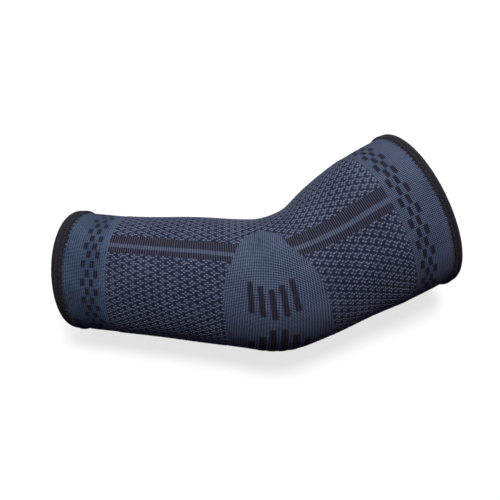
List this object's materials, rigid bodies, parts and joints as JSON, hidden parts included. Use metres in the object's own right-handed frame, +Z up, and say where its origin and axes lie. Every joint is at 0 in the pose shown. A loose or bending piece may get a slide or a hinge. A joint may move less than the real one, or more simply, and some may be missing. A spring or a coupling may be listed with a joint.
{
  "type": "elbow sleeve",
  "caption": "Knitted compression sleeve for the elbow, bent as worn, with a ribbed elbow panel, side bands, knitted cuffs and bound elastic hems.",
  "frame": {"origin": "on the surface the sleeve lies on, under the middle of its bounding box", "axes": "+X from the forearm hem towards the upper-arm hem, +Y from the elbow's tip towards the crook, +Z up, square to the plane of the bend"},
  "size_m": [0.2626, 0.1532, 0.1064],
  "materials": {
    "cuff_knit": "matte",
    "body_knit": "matte",
    "panel_knit": "matte",
    "band_knit": "matte",
    "hem_binding": "matte",
    "elastic": "matte",
    "thread": "matte"
  },
  "bodies": {
    "forearm": {"forearm_hem_binding": "hem_binding", "forearm_hem_elastic": "elastic", "forearm_hem_stitching": "thread", "forearm_cuff": "cuff_knit", "forearm_elbow_side": "body_knit", "forearm_crook_side": "body_knit", "forearm_band_upper": "band_knit", "forearm_band_under": "band_knit", "elbow_panel": "panel_knit", "crook_panel": "body_knit"},
    "upper_arm": {"upper_arm_hem_binding": "hem_binding", "upper_arm_hem_elastic": "elastic", "upper_arm_hem_stitching": "thread", "upper_arm_cuff": "cuff_knit", "upper_arm_elbow_side": "body_knit", "upper_arm_crook_side": "body_knit", "upper_arm_band_upper": "band_knit", "upper_arm_band_under": "band_knit"}
  },
  "joints": [
    {"name": "elbow_flexion", "type": "hinge", "parent": "forearm", "child": "upper_arm", "pos_m": [0.01265, 0.00165, 0.045], "axis": [0, 0, 1], "range_deg": [-31, 75], "deforming": ["elbow_panel", "crook_panel"]}
  ]
}
